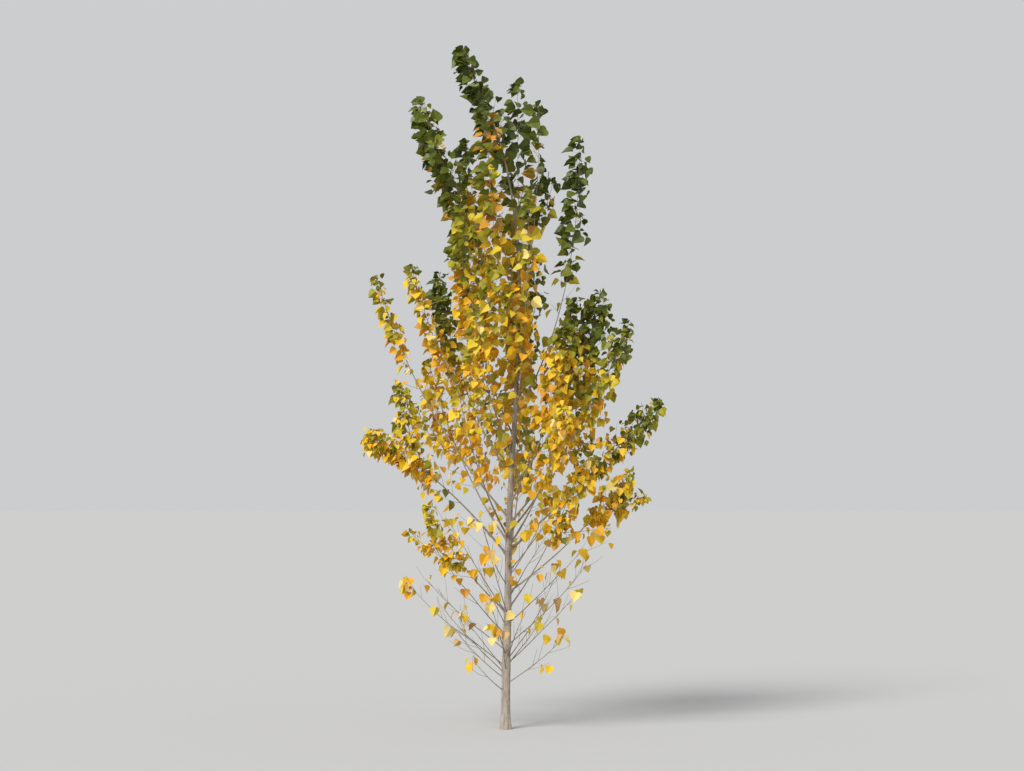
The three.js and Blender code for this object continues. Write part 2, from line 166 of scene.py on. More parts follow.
# ---- the trunk's line -------------------------------------------------------
def smooth_line(pts, steps=400):
    """Points of an open centripetal Catmull-Rom curve, evenly stepped in its own parameter."""
    n = len(pts)
    out = []
    for k in range(steps + 1):
        p = (n - 1) * k / steps
        i = min(int(p), n - 2)
        w = p - i
        p1, p2 = pts[i], pts[i + 1]
        p0 = pts[i - 1] if i > 0 else 2 * pts[0] - pts[1]
        p3 = pts[i + 2] if i + 2 < n else 2 * pts[-1] - pts[-2]
        d0, d1, d2 = (np.linalg.norm(b - a) ** 0.5 for a, b in ((p0, p1), (p1, p2), (p2, p3)))
        t1 = ((p1 - p0) / d0 - (p2 - p0) / (d0 + d1) + (p2 - p1) / d1) * d1
        t2 = ((p2 - p1) / d1 - (p3 - p1) / (d1 + d2) + (p3 - p2) / d2) * d1
        c2 = -3 * p1 + 3 * p2 - 2 * t1 - t2
        c3 = 2 * p1 - 2 * p2 + t1 + t2
        out.append(p1 + t1 * w + c2 * w * w + c3 * w**3)
    return np.array(out)


TRUNK_LINE = smooth_line(np.array([LEAN_RIGHT, LEAN_BACK, LEAN_HEIGHT], float).T) / 1000


def trunk_at(z):
    """The trunk's axis at height z; above the wood it runs straight on."""
    z = np.asarray(z, float)
    top = TRUNK_LINE[-1]
    low = np.minimum(z, top[2])
    x = np.interp(low, TRUNK_LINE[:, 2], TRUNK_LINE[:, 0])
    y = np.interp(low, TRUNK_LINE[:, 2], TRUNK_LINE[:, 1])
    d = TRUNK_LINE[-1] - TRUNK_LINE[-8]
    over = np.maximum(z - top[2], 0)
    return np.stack([x + over * d[0] / d[2], y + over * d[1] / d[2], z], -1)


def trunk_radius(z):
    mm = np.asarray(z, float) * 1000
    up = np.clip(mm / TRUNK_TOP, 0, 1)
    swell = sum(WHORL_SWELL * np.exp(-(((mm - w) / 70) ** 2)) for w in WHORLS)
    return (TIP_RADIUS + (FOOT_RADIUS - TIP_RADIUS) * (1 - up) ** (1 / TAPER) + swell * (1 - up)) / 1000


def bough_line(b, t):
    start = trunk_at(b["start"] / 1000)
    h = math.radians(b["heading"])
    tip = np.array([b["reach"] * math.cos(h), b["reach"] * math.sin(h), b["top"]]) / 1000
    bend = start + (tip - start) * np.array([b["bow"], b["bow"], b["rise"]])
    t = np.asarray(t, float)[..., None]
    return (1 - t) ** 2 * start + 2 * t * (1 - t) * bend + t * t * tip


def bough_radius(b, t):
    end = b["leafy"] + BOUGH_ENDS_INSIDE
    t = np.asarray(t, float)
    wood = b["girth"] * (1 - (1 - BOUGH_THIN) * np.clip(t / end, 0, 1) ** 0.9)
    twig = b["girth"] * BOUGH_THIN + (1.3 - b["girth"] * BOUGH_THIN) * np.clip((t - end) / (1 - end), 0, 1)
    return np.where(t < end, wood, twig) / 1000


def lobe_line(l, t):
    start = bough_line(BOUGHS[l["of"]], l["at"])
    h = math.radians(l["heading"])
    tip = np.array([l["reach"] * math.cos(h), l["reach"] * math.sin(h), l["top"]]) / 1000
    bend = start + (tip - start) * np.array([LOBE_BOW, LOBE_BOW, LOBE_RISE])
    t = np.asarray(t, float)[..., None]
    return (1 - t) ** 2 * start + 2 * t * (1 - t) * bend + t * t * tip


def plumpness(u, belly):
    s = np.sin(math.pi * np.clip(u, 0, 1) ** (math.log(0.5) / math.log(belly)))
    return np.maximum(s, 0) ** 0.62


# ---------------------------------------------------------------------------
# Meshes
# ---------------------------------------------------------------------------
def mesh_piece(name, verts, quads=None, tris=None, smooth=True):
    """One object from arrays of vertices, quads and triangles."""
    me = bpy.data.meshes.new(name)
    quads = np.zeros((0, 4), np.int32) if quads is None else np.asarray(quads, np.int32)
    tris = np.zeros((0, 3), np.int32) if tris is None else np.asarray(tris, np.int32)
    me.vertices.add(len(verts))
    me.vertices.foreach_set("co", np.asarray(verts, np.float32).ravel())
    loops = np.concatenate([quads.ravel(), tris.ravel()])
    me.loops.add(len(loops))
    me.loops.foreach_set("vertex_index", loops)
    me.polygons.add(len(quads) + len(tris))
    starts = np.concatenate([np.arange(len(quads)) * 4, len(quads) * 4 + np.arange(len(tris)) * 3])
    totals = np.concatenate([np.full(len(quads), 4), np.full(len(tris), 3)])
    me.polygons.foreach_set("loop_start", starts.astype(np.int32))
    me.polygons.foreach_set("loop_total", totals.astype(np.int32))
    me.polygons.foreach_set("use_smooth", np.full(len(totals), smooth))
    me.update(calc_edges=True)
    me.validate()
    o = bpy.data.objects.new(name, me)
    bpy.context.scene.collection.objects.link(o)
    return o


class Pile:
    """Many small meshes joined into one piece."""

    def __init__(self):
        self.v, self.q, self.t, self.n = [], [], [], 0

    def add(self, verts, quads=None, tris=None):
        self.v.append(np.asarray(verts, np.float32))
        if quads is not None and len(quads):
            self.q.append(np.asarray(quads) + self.n)
        if tris is not None and len(tris):
            self.t.append(np.asarray(tris) + self.n)
        self.n += len(verts)

    def triangles(self):
        return 2 * sum(len(q) for q in self.q) + sum(len(t) for t in self.t)

    def piece(self, name, smooth=True):
        q = np.concatenate(self.q) if self.q else None
        t = np.concatenate(self.t) if self.t else None
        return mesh_piece(name, np.concatenate(self.v), q, t, smooth)


def frames(centres):
    """Directions, and two vectors across them that don't twist, along a line of points."""
    c = np.asarray(centres, float)
    d = np.gradient(c, axis=0)
    d /= np.maximum(np.linalg.norm(d, axis=1, keepdims=True), 1e-9)
    u = np.zeros_like(c)
    side = perpendicular(d[0])
    for i in range(len(c)):
        side = unit(side - d[i] * side.dot(d[i]))
        u[i] = side
    return d, u, np.cross(d, u)


def tube(centres, radii, sides, cap_start=True, cap_end=True, angles=None):
    """A closed tube. radii is (rings,) or (rings, sides)."""
    c = np.asarray(centres, float)
    n = len(c)
    _, u, w = frames(c)
    a = 2 * np.pi * np.arange(sides) / sides if angles is None else angles
    r = np.asarray(radii, float)
    r = r[:, None] if r.ndim == 1 else r
    v = c[:, None] + r[..., None] * (np.cos(a)[None, :, None] * u[:, None] + np.sin(a)[None, :, None] * w[:, None])
    v = v.reshape(-1, 3)
    i = np.arange(n - 1)[:, None] * sides
    j = np.arange(sides)[None]
    k = (j + 1) % sides
    quads = np.stack([i + j, i + k, i + sides + k, i + sides + j], -1).reshape(-1, 4)
    tris = []
    j = np.arange(sides)
    k = (j + 1) % sides
    extra = []
    if cap_start:
        extra.append(c[0])
        tris.append(np.stack([np.full(sides, n * sides), k, j], -1))
    if cap_end:
        extra.append(c[-1])
        top = (n - 1) * sides
        tris.append(np.stack([np.full(sides, n * sides + len(extra) - 1), top + j, top + k], -1))
    if extra:
        v = np.concatenate([v, np.array(extra)])
    return v, quads, (np.concatenate(tris) if tris else None)


# ---------------------------------------------------------------------------
# Bark: the trunk's relief, and the boughs run on to their tips
# ---------------------------------------------------------------------------
def emergence(b):
    """Where a bough's line leaves the trunk: its share of the line, and the point."""
    t = np.linspace(0, 0.5, 400)
    p = bough_line(b, t)
    away = np.linalg.norm(p[:, :2] - trunk_at(p[:, 2])[:, :2], axis=1)
    i = int(np.argmax(away > trunk_radius(p[:, 2])))
    return t[i], p[i]


def value_noise(seed, x, y, period_x):
    """Smooth noise on a grid that closes on itself in x, for going round a stem."""
    g = np.random.default_rng(seed).uniform(-1, 1, (period_x, 4096))
    xi, yi = np.floor(x).astype(int), np.floor(y).astype(int)
    fx, fy = x - xi, y - yi
    fx, fy = fx * fx * (3 - 2 * fx), fy * fy * (3 - 2 * fy)
    a = g[xi % period_x, yi % 4096]
    b = g[(xi + 1) % period_x, yi % 4096]
    c = g[xi % period_x, (yi + 1) % 4096]
    d = g[(xi + 1) % period_x, (yi + 1) % 4096]
    return (a * (1 - fx) + b * fx) * (1 - fy) + (c * (1 - fx) + d * fx) * fy


def build_trunk():
    sides = 48
    z = [0.0]
    while z[-1] < TRUNK_TOP / 1000:
        z.append(z[-1] + np.interp(z[-1], [0, 0.3, 2.0, 5.3], [0.0035, 0.0045, 0.006, 0.009]))
    z[-1] = TRUNK_TOP / 1000
    z = np.array(z)
    c = trunk_at(z)
    a = 2 * np.pi * np.arange(sides) / sides
    A, Z = np.meshgrid(a, z)
    base = trunk_radius(Z)
    r = base + FLARE / 1000 * np.exp(-Z * 1000 / FLARE_FADE) * (1 + 0.45 * np.cos(FLARE_LOBES * A + 0.7))
    r += 0.0006 * np.sin(2 * A + Z * 1000 / 260) * (1 - Z * 1000 / TRUNK_TOP)
    stout = np.clip(base / 0.04, 0.05, 1)
    # long shallow furrows near the foot, dying out upwards, and a faint waviness all the way
    furrow = value_noise(3, A / (2 * np.pi) * 16, Z * 9, 16)
    fine = value_noise(4, A / (2 * np.pi) * 24, Z * 70, 24)
    r += 0.0016 * stout * np.exp(-Z / 0.55) * np.minimum(furrow, 0.15)
    r += 0.00045 * stout * fine
    r += 0.0011 * stout * value_noise(5, A / (2 * np.pi) * 4, Z * 7, 4)
    # collars where the boughs leave
    for b in BOUGHS.values():
        _, p = emergence(b)
        axis = trunk_at(p[2])
        ang = math.atan2(p[1] - axis[1], p[0] - axis[0])
        g = b["girth"] / 1000
        da = (A - ang + np.pi) % (2 * np.pi) - np.pi
        dz = Z - p[2]
        below = np.where(dz < 0, 3.0, 1.7)
        r += 0.5 * g * np.exp(-((dz / (below * g)) ** 2) - (da * base / (1.5 * g)) ** 2)
    # scars of shed and pruned twigs: a raised lip round a dimple
    scars = np.random.default_rng(7)
    for zc in np.arange(0.12, 3.1, 0.058):
        zc = zc + scars.uniform(-0.02, 0.02)
        ac, s = scars.uniform(0, 2 * np.pi), scars.uniform(0.006, 0.013) * np.interp(zc, [0, 3], [1, 0.6])
        near = np.abs(Z[:, 0] - zc) < 4 * s
        da = (A[near] - ac + np.pi) % (2 * np.pi) - np.pi
        rho = np.hypot(da * base[near], (Z[near] - zc) * 1.25)
        r[near] += 0.16 * s * np.exp(-(((rho - 0.8 * s) / (0.38 * s)) ** 2)) - 0.2 * s * np.exp(-((rho / (0.45 * s)) ** 2))
    # ring wrinkles at the ends of each year's growth
    for w in WHORLS:
        for k in range(-3, 4):
            r += 0.0007 * stout * np.exp(-(((Z - w / 1000 - k * 0.006) / 0.0016) ** 2))
    v, q, t = tube(c, r, sides, angles=a)
    v[:sides, 2] = 0.0
    o = mesh_piece("trunk_bark", v, q, t)
    return o


wood_tubes = Pile()
twig_tubes = Pile()
bud_pile = Pile()


def bud(at, direction, size):
    """A pointed winter bud: two low four-sided cones, the upper one long."""
    d = unit(direction)
    u = perpendicular(d)
    w = np.cross(d, u)
    ring = [at + d * size * 0.35 + (math.cos(x) * u + math.sin(x) * w) * size * 0.2 for x in np.arange(5) * 2 * np.pi / 5]
    v = np.array([at - d * size * 0.05] + ring + [at + d * size])
    j = np.arange(5)
    k = (j + 1) % 5
    tris = np.concatenate([np.stack([np.zeros(5, int), 1 + k, 1 + j], -1), np.stack([np.full(5, 6), 1 + j, 1 + k], -1)])
    bud_pile.add(v, tris=tris)


def build_bough(name, b):
    length = np.linalg.norm(np.diff(bough_line(b, np.linspace(0, 1, 60)), axis=0), axis=1).sum()
    t0, out = emergence(b)
    n = max(40, int(length / 0.014))
    t = np.concatenate([np.linspace(0, t0, 4)[:-1], t0 + (1 - t0) * np.linspace(0, 1, n) ** 1.05])
    t = t[t < 0.985]
    c = bough_line(b, t)
    r = bough_radius(b, t)
    g = b["girth"] / 1000
    d = np.linalg.norm(c - out, axis=1) * np.where(t < t0, -1, 1)
    r = r * (1 + 0.55 * np.exp(-np.maximum(d, 0) / (1.6 * g)))
    sides = 10
    a = 2 * np.pi * np.arange(sides) / sides
    seed = sum(ord(x) for x in name)
    A, S = np.meshgrid(a, np.linspace(0, length, len(t)))
    rr = r[:, None] * (1 + 0.05 * value_noise(seed, A / (2 * np.pi) * 5, S * 60, 5) + 0.05 * value_noise(seed + 1, A / (2 * np.pi) * 3, S * 14, 3))
    # a knuckle at every few centimetres where a leaf or twig sits
    knot = np.random.default_rng(seed)
    s = 0.05
    while s < length:
        where, size = s, knot.uniform(0.1, 0.2)
        ang = knot.uniform(0, 2 * np.pi)
        rr = rr * (1 + size * np.exp(-(((S - where) / 0.007) ** 2)) * (0.6 + 0.4 * np.cos(A - ang)))
        s += knot.uniform(0.035, 0.06)
    v, q, tr = tube(c, rr, sides)
    wood_tubes.add(v, q, tr)


# ---------------------------------------------------------------------------
# Leaves
# ---------------------------------------------------------------------------
# Half the outline of a poplar leaf, from the stalk to the drawn-out tip: share of the length, half width.
HALF = [(0.0, 0.03), (0.0, 0.19), (0.03, 0.33), (0.095, 0.44), (0.19, 0.5), (0.31, 0.505), (0.44, 0.455),
        (0.57, 0.37), (0.7, 0.262), (0.82, 0.145), (0.92, 0.052)]
BLADES = 10


def blade_template(k):
    """Vertices and triangles of one blade, one unit long: stalk at the origin, tip along +Y, upper face +Z."""
    g = np.random.default_rng(900 + k)
    fold = math.tan(math.radians(g.uniform(8, 32)))
    curl = g.uniform(0.05, 0.42)
    wave = g.uniform(0.005, 0.045)
    turns, phase = g.uniform(1.2, 2.4), g.uniform(0, 6.28)
    skew = g.uniform(-0.05, 0.05)
    wide = g.uniform(0.92, 1.08)
    verts, tris = [], []

    def lift(x, y):
        z = abs(x) * fold - curl * max(y, 0) ** 2 * 0.6
        z += wave * math.sin(turns * 6.28 * y + phase + (1.3 if x > 0 else 0)) * min(abs(x) / 0.3, 1)
        return (x + skew * y * y, y, z)

    for side in (1, -1):
        first = len(verts)
        for i, (y, w) in enumerate(HALF):
            crenate = 1 + (0.028 if i % 2 else -0.012) * (1 if 1 < i < 10 else 0)
            yy = y if i else 0.0
            mid = max(yy, 0.0) if i > 1 else 0.0
            verts.append(lift(side * w * wide * crenate, yy - (0.035 if i == 1 else 0)))
            if i:
                verts.append(lift(0.0, mid + (0.02 if i == 1 else 0)))
        verts.append(lift(0.0, 1.0))
        # outline points: first, first+1, first+3, ...; midrib points: first+2, first+4, ...
        outline = [first] + [first + 1 + 2 * i for i in range(len(HALF) - 1)]
        rib = [first + 2 + 2 * i for i in range(len(HALF) - 1)]
        tip = len(verts) - 1
        chain = [(outline[0], outline[1], rib[0])]
        for i in range(1, len(HALF) - 1):
            chain.append((outline[i], outline[i + 1], rib[i - 1]))
            chain.append((outline[i + 1], rib[i], rib[i - 1]))
        chain.append((outline[-1], tip, rib[-1]))
        tris += [c if side > 0 else c[::-1] for c in chain]
    return np.array(verts), np.array(tris)


TEMPLATES = [blade_template(k) for k in range(BLADES)]
LUSH = 1.5
BUNCH_EVERY = 0.17  # metres between the bunches of leaves along a shoot
# The least that the leaves of a mass have turned, as a rung of the ladder of tints; the masses not named here have 0.35.
# right_flank is held among the lighter yellows here and in RIPEST, partly for its own colour and partly as painted
# light that lifts the shade the masses above cast on it.
PALER = {"right_flank": 4.4, "front_left": 2.2, "leader_belly": 3.2, "front_top": 0.8, "top_inner_left": 0.6, "low_left": 2.8,
         "low_front_left": 3.2, "low_front_right": 4.0, "lowest_left": 2.9, "lowest_right": 3.8, "lowest_front": 4.2,
         "top_left": 0.9, "right_upper_plume": 0.9, "right_outer_plume": 1.1, "low_right": 1.2, "right_wand": 0.0, "leader_tip": 0.0, "top_back": 0.2}
# The most that they have turned, where it isn't all the way to gold.
RIPEST = {"right_flank": 5.2, "leader_belly": 5.6, "front_right": 5.5, "lowest_left": 5.4, "low_left": 5.8}
# The share of leaves turned orange before their neighbours, where it isn't one in forty, and how far back from the tip.
EARLY = {"leader_tip": 0.3, "right_wand": 0.0, "top_inner_left": 0.5, "front_top": 0.14, "leader_lower": 0.15, "front_right": 0.07, "front_left": 0.06,
         "top_left": 0.12, "top_right": 0.06, "back_upper": 0.1}
EARLY_FROM = {"leader_tip": 0.62, "top_inner_left": 0.16, "top_left": 0.42}
AREA = 0.66  # of a blade, as a share of its length squared
BOX_LOW, BOX_HIGH = (np.array(list(c), float) for c in cad_box)
LEEWAY = 0.022 * (BOX_HIGH - BOX_LOW) + 0.006  # how far a leaf may reach past the solids

# Autumn tints, from the green tip of a shoot down to its oldest leaves. Linear colours. The yellows, golds and orange
# are partly the leaves' own colour and partly painted glow: they are set brighter than the blades, for the light that
# shines through them.
TINTS = {
    "deep_green": (0.061, 0.085, 0.007),
    "green": (0.096, 0.120, 0.007),
    "olive": (0.176, 0.186, 0.011),
    "lime": (0.320, 0.285, 0.016),
    "lemon": (0.620, 0.460, 0.024),
    "yellow": (0.760, 0.475, 0.013),
    "gold": (0.700, 0.358, 0.009),
    "orange": (0.560, 0.262, 0.018),
    "cream": (0.780, 0.600, 0.190),
    "russet": (0.560, 0.345, 0.120),
    "sage": (0.175, 0.200, 0.078),  # partly the paler underside of a green leaf, partly a painted highlight that stands for the sky's glint on glossy leaves
}
LADDER = ["deep_green", "green", "olive", "lime", "lemon", "yellow", "gold"]
leaves = {k: [] for k in TINTS}  # tint -> rows of (template, position, x axis, y axis, z axis, size, mass)
stalks = Pile()
plume_tints = {}  # mass -> tints it holds


def put_leaf(mass, node, stem_dir, phi, size, tint, droop, windy=0.15):
    """A leaf on its stalk: it leaves the shoot upwards and outwards, the stalk bends over and the blade hangs."""
    t = unit(stem_dir)
    u = perpendicular(t)
    w = np.cross(t, u)
    out = math.cos(phi) * u + math.sin(phi) * w
    lean = math.radians(rng.uniform(42, 66))
    d0 = unit(out * math.sin(lean) + t * math.cos(lean))
    stalk = size * rng.uniform(0.5, 0.78)
    d1 = unit(d0 + np.array([0, 0, -1.0]) * droop * rng.uniform(0.5, 1.0) + WIND * windy * rng.uniform(0.2, 1.2))
    mid = node + d0 * stalk * 0.5
    end = mid + d1 * stalk * 0.5
    # midrib: on from the stalk, pulled down by the blade's weight
    m = unit(d1 * rng.uniform(0.4, 0.9) + np.array([0, 0, -1.0]) * droop * rng.uniform(0.6, 1.5) + WIND * windy + rng.normal(0, 0.16 + 0.2 * windy, 3))
    # upper face: up and outwards, then turned about the midrib, as the flat stalk lets it
    face = unit(out * 0.75 + UP * 0.75 + rng.normal(0, 0.36, 3))
    face = face - m * face.dot(m)
    if np.linalg.norm(face) < 0.1:
        face = perpendicular(m, out)
    face = unit(face)
    turn = rng.normal(0, 0.72 + 0.5 * windy)
    x = np.cross(m, face)
    face, x = math.cos(turn) * face + math.sin(turn) * x, math.cos(turn) * x - math.sin(turn) * face
    kind = rng.integers(BLADES)
    blade = end + size * TEMPLATES[kind][0] @ np.array([x, m, face])
    if (blade < BOX_LOW - LEEWAY).any() or (blade > BOX_HIGH + LEEWAY).any():
        return
    leaves[tint].append((kind, end, x, m, face, size, mass))
    plume_tints.setdefault(mass, set()).add(tint)
    # the stalk: flat-sided, three sides are enough
    r0, r1 = size * 0.011, size * 0.008
    line = np.array([node, mid, end])
    v, q, _ = tube(line, np.array([r0, r1, r1]), 3, False, False)
    stalks.add(v, q)


def tint_for(level, odd=0.0):
    """A rung of the ladder, 0 deep green to 6 gold, with a few leaves turned early or faded."""
    x = rng.random()
    if x < odd:
        return rng.choice(["orange", "orange", "gold"])
    if level > 4.5 and x > 0.93:
        return "orange"
    if level > 3.6 and x > 0.88:
        return "cream"
    if level > 3.6 and x > 0.75:
        level -= rng.uniform(1.2, 2.2)
    # a few green leaves are pale sage: partly their paler undersides, partly painted highlight for the glint on glossy
    # leaves
    elif level < 2.2 and x > 0.95:
        return "sage"
    return LADDER[int(np.clip(round(level + rng.normal(0, 0.45)), 0, 6))]


def ripeness(back, green, spray, floor=0.0, fade=0.4, most=6.0):
    """How far a leaf has turned, by its distance back from the tip of its plume."""
    x = (back - green) / fade
    if x < 0 and fade < 0.3:
        floor = 0.6
    return float(np.clip(2.6 + 2.2 * x + spray, floor + 0.3 * max(0.0, 1 - back / 0.5), most))


def spray_noise(back):
    """Whole sprays that are greener than their neighbours, and a few that turned early."""
    x = rng.random()
    return rng.normal(0, 0.75) + (-3.2 if x < 0.06 else -1.9 if x < 0.22 else 2.0 if x > 0.93 and back > 0.3 else 0.0)


def shoot(mass, start, direction, length, radius, spacing, size, level, droop, windy, rise=0.35, first_leaf=0.15, sides=5, odd=0.0, shrink=True, skip=0.0):
    """A twig that turns upwards as it grows, with its leaves set round it in a spiral."""
    steps = max(4, int(length / 0.03))
    pts, d = [np.asarray(start, float)], unit(direction)
    for k in range(steps):
        d = unit(d + UP * rise / steps + WIND * 0.18 * windy / steps + rng.normal(0, 0.035, 3))
        pts.append(pts[-1] + d * length / steps)
    pts = np.array(pts)
    r = radius * np.linspace(1, 0.42, len(pts))
    v, q, tr = tube(pts, r, sides, False, True)
    twig_tubes.add(v, q, tr)
    seg = length / steps
    s, phi, k = max(first_leaf * length, 0.012), rng.uniform(0, 6.28), 0
    while s < length:
        i = min(int(s / seg), steps - 1)
        p = pts[i] + (pts[i + 1] - pts[i]) * (s / seg - i)
        dd = unit(pts[i + 1] - pts[i])
        near_tip = 1 - s / length
        sz = size * rng.uniform(0.74, 1.16) * (np.interp(length - s, [0, 0.04, 0.08], [0.55, 0.85, 1]) if shrink else 1)
        if rng.random() >= skip:
            put_leaf(mass, p, dd, phi, sz, tint_for(level + rng.normal(0, 0.35) - 0.8 * near_tip * 0, odd), droop, windy)
        phi += math.radians(137.5) + rng.normal(0, 0.2)
        s += spacing * rng.uniform(0.75, 1.25)
        k += 1
    put_leaf(mass, pts[-1], d, phi, size * 0.62, tint_for(level - 0.5), droop * 0.7, windy)
    return pts


def grow_plume(mass, line, length, radius_at, plump, belly, green, lush, size, stem_radius, windy, high):
    """Leaves on the main shoot through a mass, and side shoots that fill its outline.
    line(u) is the axis from where the leaves close in (0) to the tip (1)."""
    outline = 2 * plump * 0.72 * length
    floor = PALER.get(mass[8:], 0.35)
    fade = 0.17 if mass == "foliage_right_flank" else 0.4
    early, early_from = EARLY.get(mass[8:], 0.025), EARLY_FROM.get(mass[8:], 0.28)
    most = RIPEST.get(mass[8:], 6.0)
    low_mass = mass.startswith("foliage_low")
    smallest = 0.6 if low_mass else 0.86
    want = LUSH * lush * outline / (AREA * size * size) * (1.3 if low_mass else 1)
    step = np.interp(plump, [0.09, 0.19], [0.026, 0.036])
    n_main = int(length / step)
    axis = line(np.linspace(0, 1, 61))
    along = np.concatenate([[0], np.cumsum(np.linalg.norm(np.diff(axis, axis=0), axis=1))])
    total = along[-1]

    def at(s):
        p = np.array([np.interp(s, along, axis[:, k]) for k in range(3)])
        q = np.array([np.interp(min(s + 0.01, total), along, axis[:, k]) for k in range(3)])
        o = np.array([np.interp(max(s - 0.01, 0), along, axis[:, k]) for k in range(3)])
        return p, unit(q - o)

    droop = 0.78 - 0.6 * windy
    s, phi = 0.0, rng.uniform(0, 6.28)
    reach_tip = total - size * 0.55
    bunching = 0.85 if low_mass else 0.45
    wave, start = 2 * math.pi / BUNCH_EVERY, rng.uniform(0, 6.28)
    while s < reach_tip:
        p, d = at(s)
        back = total - s
        level = ripeness(back, green, rng.normal(0, 0.5), floor, fade, most)
        sz = size * rng.uniform(smallest - 0.06, 1.2) * np.interp(reach_tip - s, [0, 0.05, 0.12], [0.6, 0.85, 1])
        put_leaf(mass, p, d, phi, sz, tint_for(level, early if back > early_from else 0.0), droop * np.interp(back, [0, 0.3], [0.55, 1]), windy)
        phi += math.radians(137.5) + rng.normal(0, 0.18)
        s += step * rng.uniform(0.8, 1.2) * np.interp(reach_tip - s, [0, 0.15], [0.62, 1]) * (1 + max(0.0, 1.5 * bunching * math.cos(wave * s + start)))
    for k in range(4):
        p, d = at(reach_tip)
        put_leaf(mass, p, d, phi + k * 2.4, size * (0.62 - 0.1 * k), tint_for(ripeness(0.0, green, 0) - 0.3), 0.25, windy)
    left = max(want - n_main, 0)
    per = 6.0
    n_side = int(round(left / per))
    phi = rng.uniform(0, 6.28)
    for k in range(n_side):
        u = (k + rng.uniform(0.2, 0.8)) / n_side * 0.93
        s = u * total
        s = float(np.clip(s + bunching / wave * math.sin(wave * s + start), 0, 0.95 * total))
        p, d = at(s)
        r = plump * plumpness(np.array(min(u + 0.06, 1)), belly) * rng.uniform(0.6, 1.14) * (1.25 if mass == "foliage_leader_tip" else 1)
        reach = max(r - size * 0.3, 0.02)
        lean = math.radians(rng.uniform(36, 58))
        ln = float(np.clip(reach / math.sin(lean), 0.04, 0.4))
        us = perpendicular(d)
        ws = np.cross(d, us)
        dr = unit(d * math.cos(lean) + (math.cos(phi) * us + math.sin(phi) * ws) * math.sin(lean))
        back = total - s - ln * 0.6
        level = ripeness(max(back, 0), green, spray_noise(back), floor + abs(rng.normal(0, 0.5)), fade, max(most, floor + 1.2))
        shoot(mass, p, dr, ln, 0.0017, ln / (per - 1.2), size * rng.uniform(smallest, 1.04), level, droop, windy, odd=early if back > early_from else 0.0)
        phi += math.radians(137.5) + rng.normal(0, 0.3)


def grow_bough(name, b):
    build_bough(name, b)
    t0 = b["leafy"]
    full = np.linalg.norm(np.diff(bough_line(b, np.linspace(t0, 1, 40)), axis=0), axis=1).sum()
    high = b["top"] / 1000
    windy = float(np.interp(high, [2.5, 4.7], [0.12, 0.55]))
    grow_plume("foliage_" + name, lambda u: bough_line(b, t0 + (1 - t0) * u), full, None, b["plump"] / 1000,
               b["belly"], b["green"], b["lush"], b["leaf"], bough_radius(b, t0), windy, high)
    # thinly leaved stretch between the trunk and the mass
    te, _ = emergence(b)
    low = high < 3.2
    span = np.linalg.norm(bough_line(b, t0) - bough_line(b, te))
    n = int(span / (0.06 if low else 0.07 if high < 4.2 else 0.09))
    phi = rng.uniform(0, 6.28)
    for k in range(n):
        t = te + (t0 - te) * (0.12 + 0.88 * (k + rng.uniform(0.1, 0.9)) / n)
        p = bough_line(b, t)
        d = unit(bough_line(b, t + 0.01) - bough_line(b, t - 0.01))
        if p[2] < 1.85 and rng.random() < 0.5:
            continue
        phi += math.radians(137.5) + rng.normal(0, 0.3)
        us = perpendicular(d)
        out = math.cos(phi) * us + math.sin(phi) * np.cross(d, us)
        lean = math.radians(rng.uniform(38, 62))
        dr = unit(d * math.cos(lean) + out * math.sin(lean))
        level = (rng.uniform(4.3, 6.0) if low else rng.uniform(3.8, 5.8)) - (2.4 if name in ("right_wand", "right_upper_plume") else 0)
        sz = b["leaf"] * rng.uniform(0.6, 1.12)
        x = rng.random()
        if x < 0.22:
            bud(p + dr * bough_radius(b, t) * 0.8, unit(dr + d), 0.009)
        elif x < 0.42:
            put_leaf("foliage_" + name, p, d, phi, sz, tint_for(level), 0.9, windy)
        else:
            shoot("foliage_" + name, p, dr, rng.uniform(0.08, 0.34 if low else 0.24), 0.0017, rng.uniform(0.03, 0.055), sz, level, 0.9, windy,
                  first_leaf=0.35, skip=0.15)


def grow_lobe(k, l):
    length = np.linalg.norm(np.diff(lobe_line(l, np.linspace(0, 1, 40)), axis=0), axis=1).sum()
    t = np.linspace(0, 0.98, max(20, int(length / 0.016)))
    c = lobe_line(l, t)
    s = t * length
    root = float(bough_radius(BOUGHS[l["of"]], l["at"]))
    r = np.interp(t, [0, 1], [min(0.0036, root * 0.85), 0.0012])
    r = r * (1 + 0.7 * np.exp(-s / 0.008))
    a = 2 * np.pi * np.arange(8) / 8
    A, S = np.meshgrid(a, s)
    knots = sum(0.16 * np.exp(-(((S - x) / 0.006) ** 2)) for x in np.arange(0.04, length, 0.045))
    v, q, tr = tube(c, r[:, None] * (1 + knots + 0.05 * value_noise(60 + k, A / (2 * np.pi) * 4, S * 40, 4)), 8)
    wood_tubes.add(v, q, tr)
    windy = float(np.interp(l["top"], [2500, 4700], [0.12, 0.55]))
    grow_plume("foliage_" + l["of"], lambda u: lobe_line(l, 0.1 + 0.9 * np.asarray(u)), length * 0.9, None, l["plump"] / 1000,
               0.55, l["green"], l["lush"], l["leaf"], 0.003, windy, l["top"] / 1000)


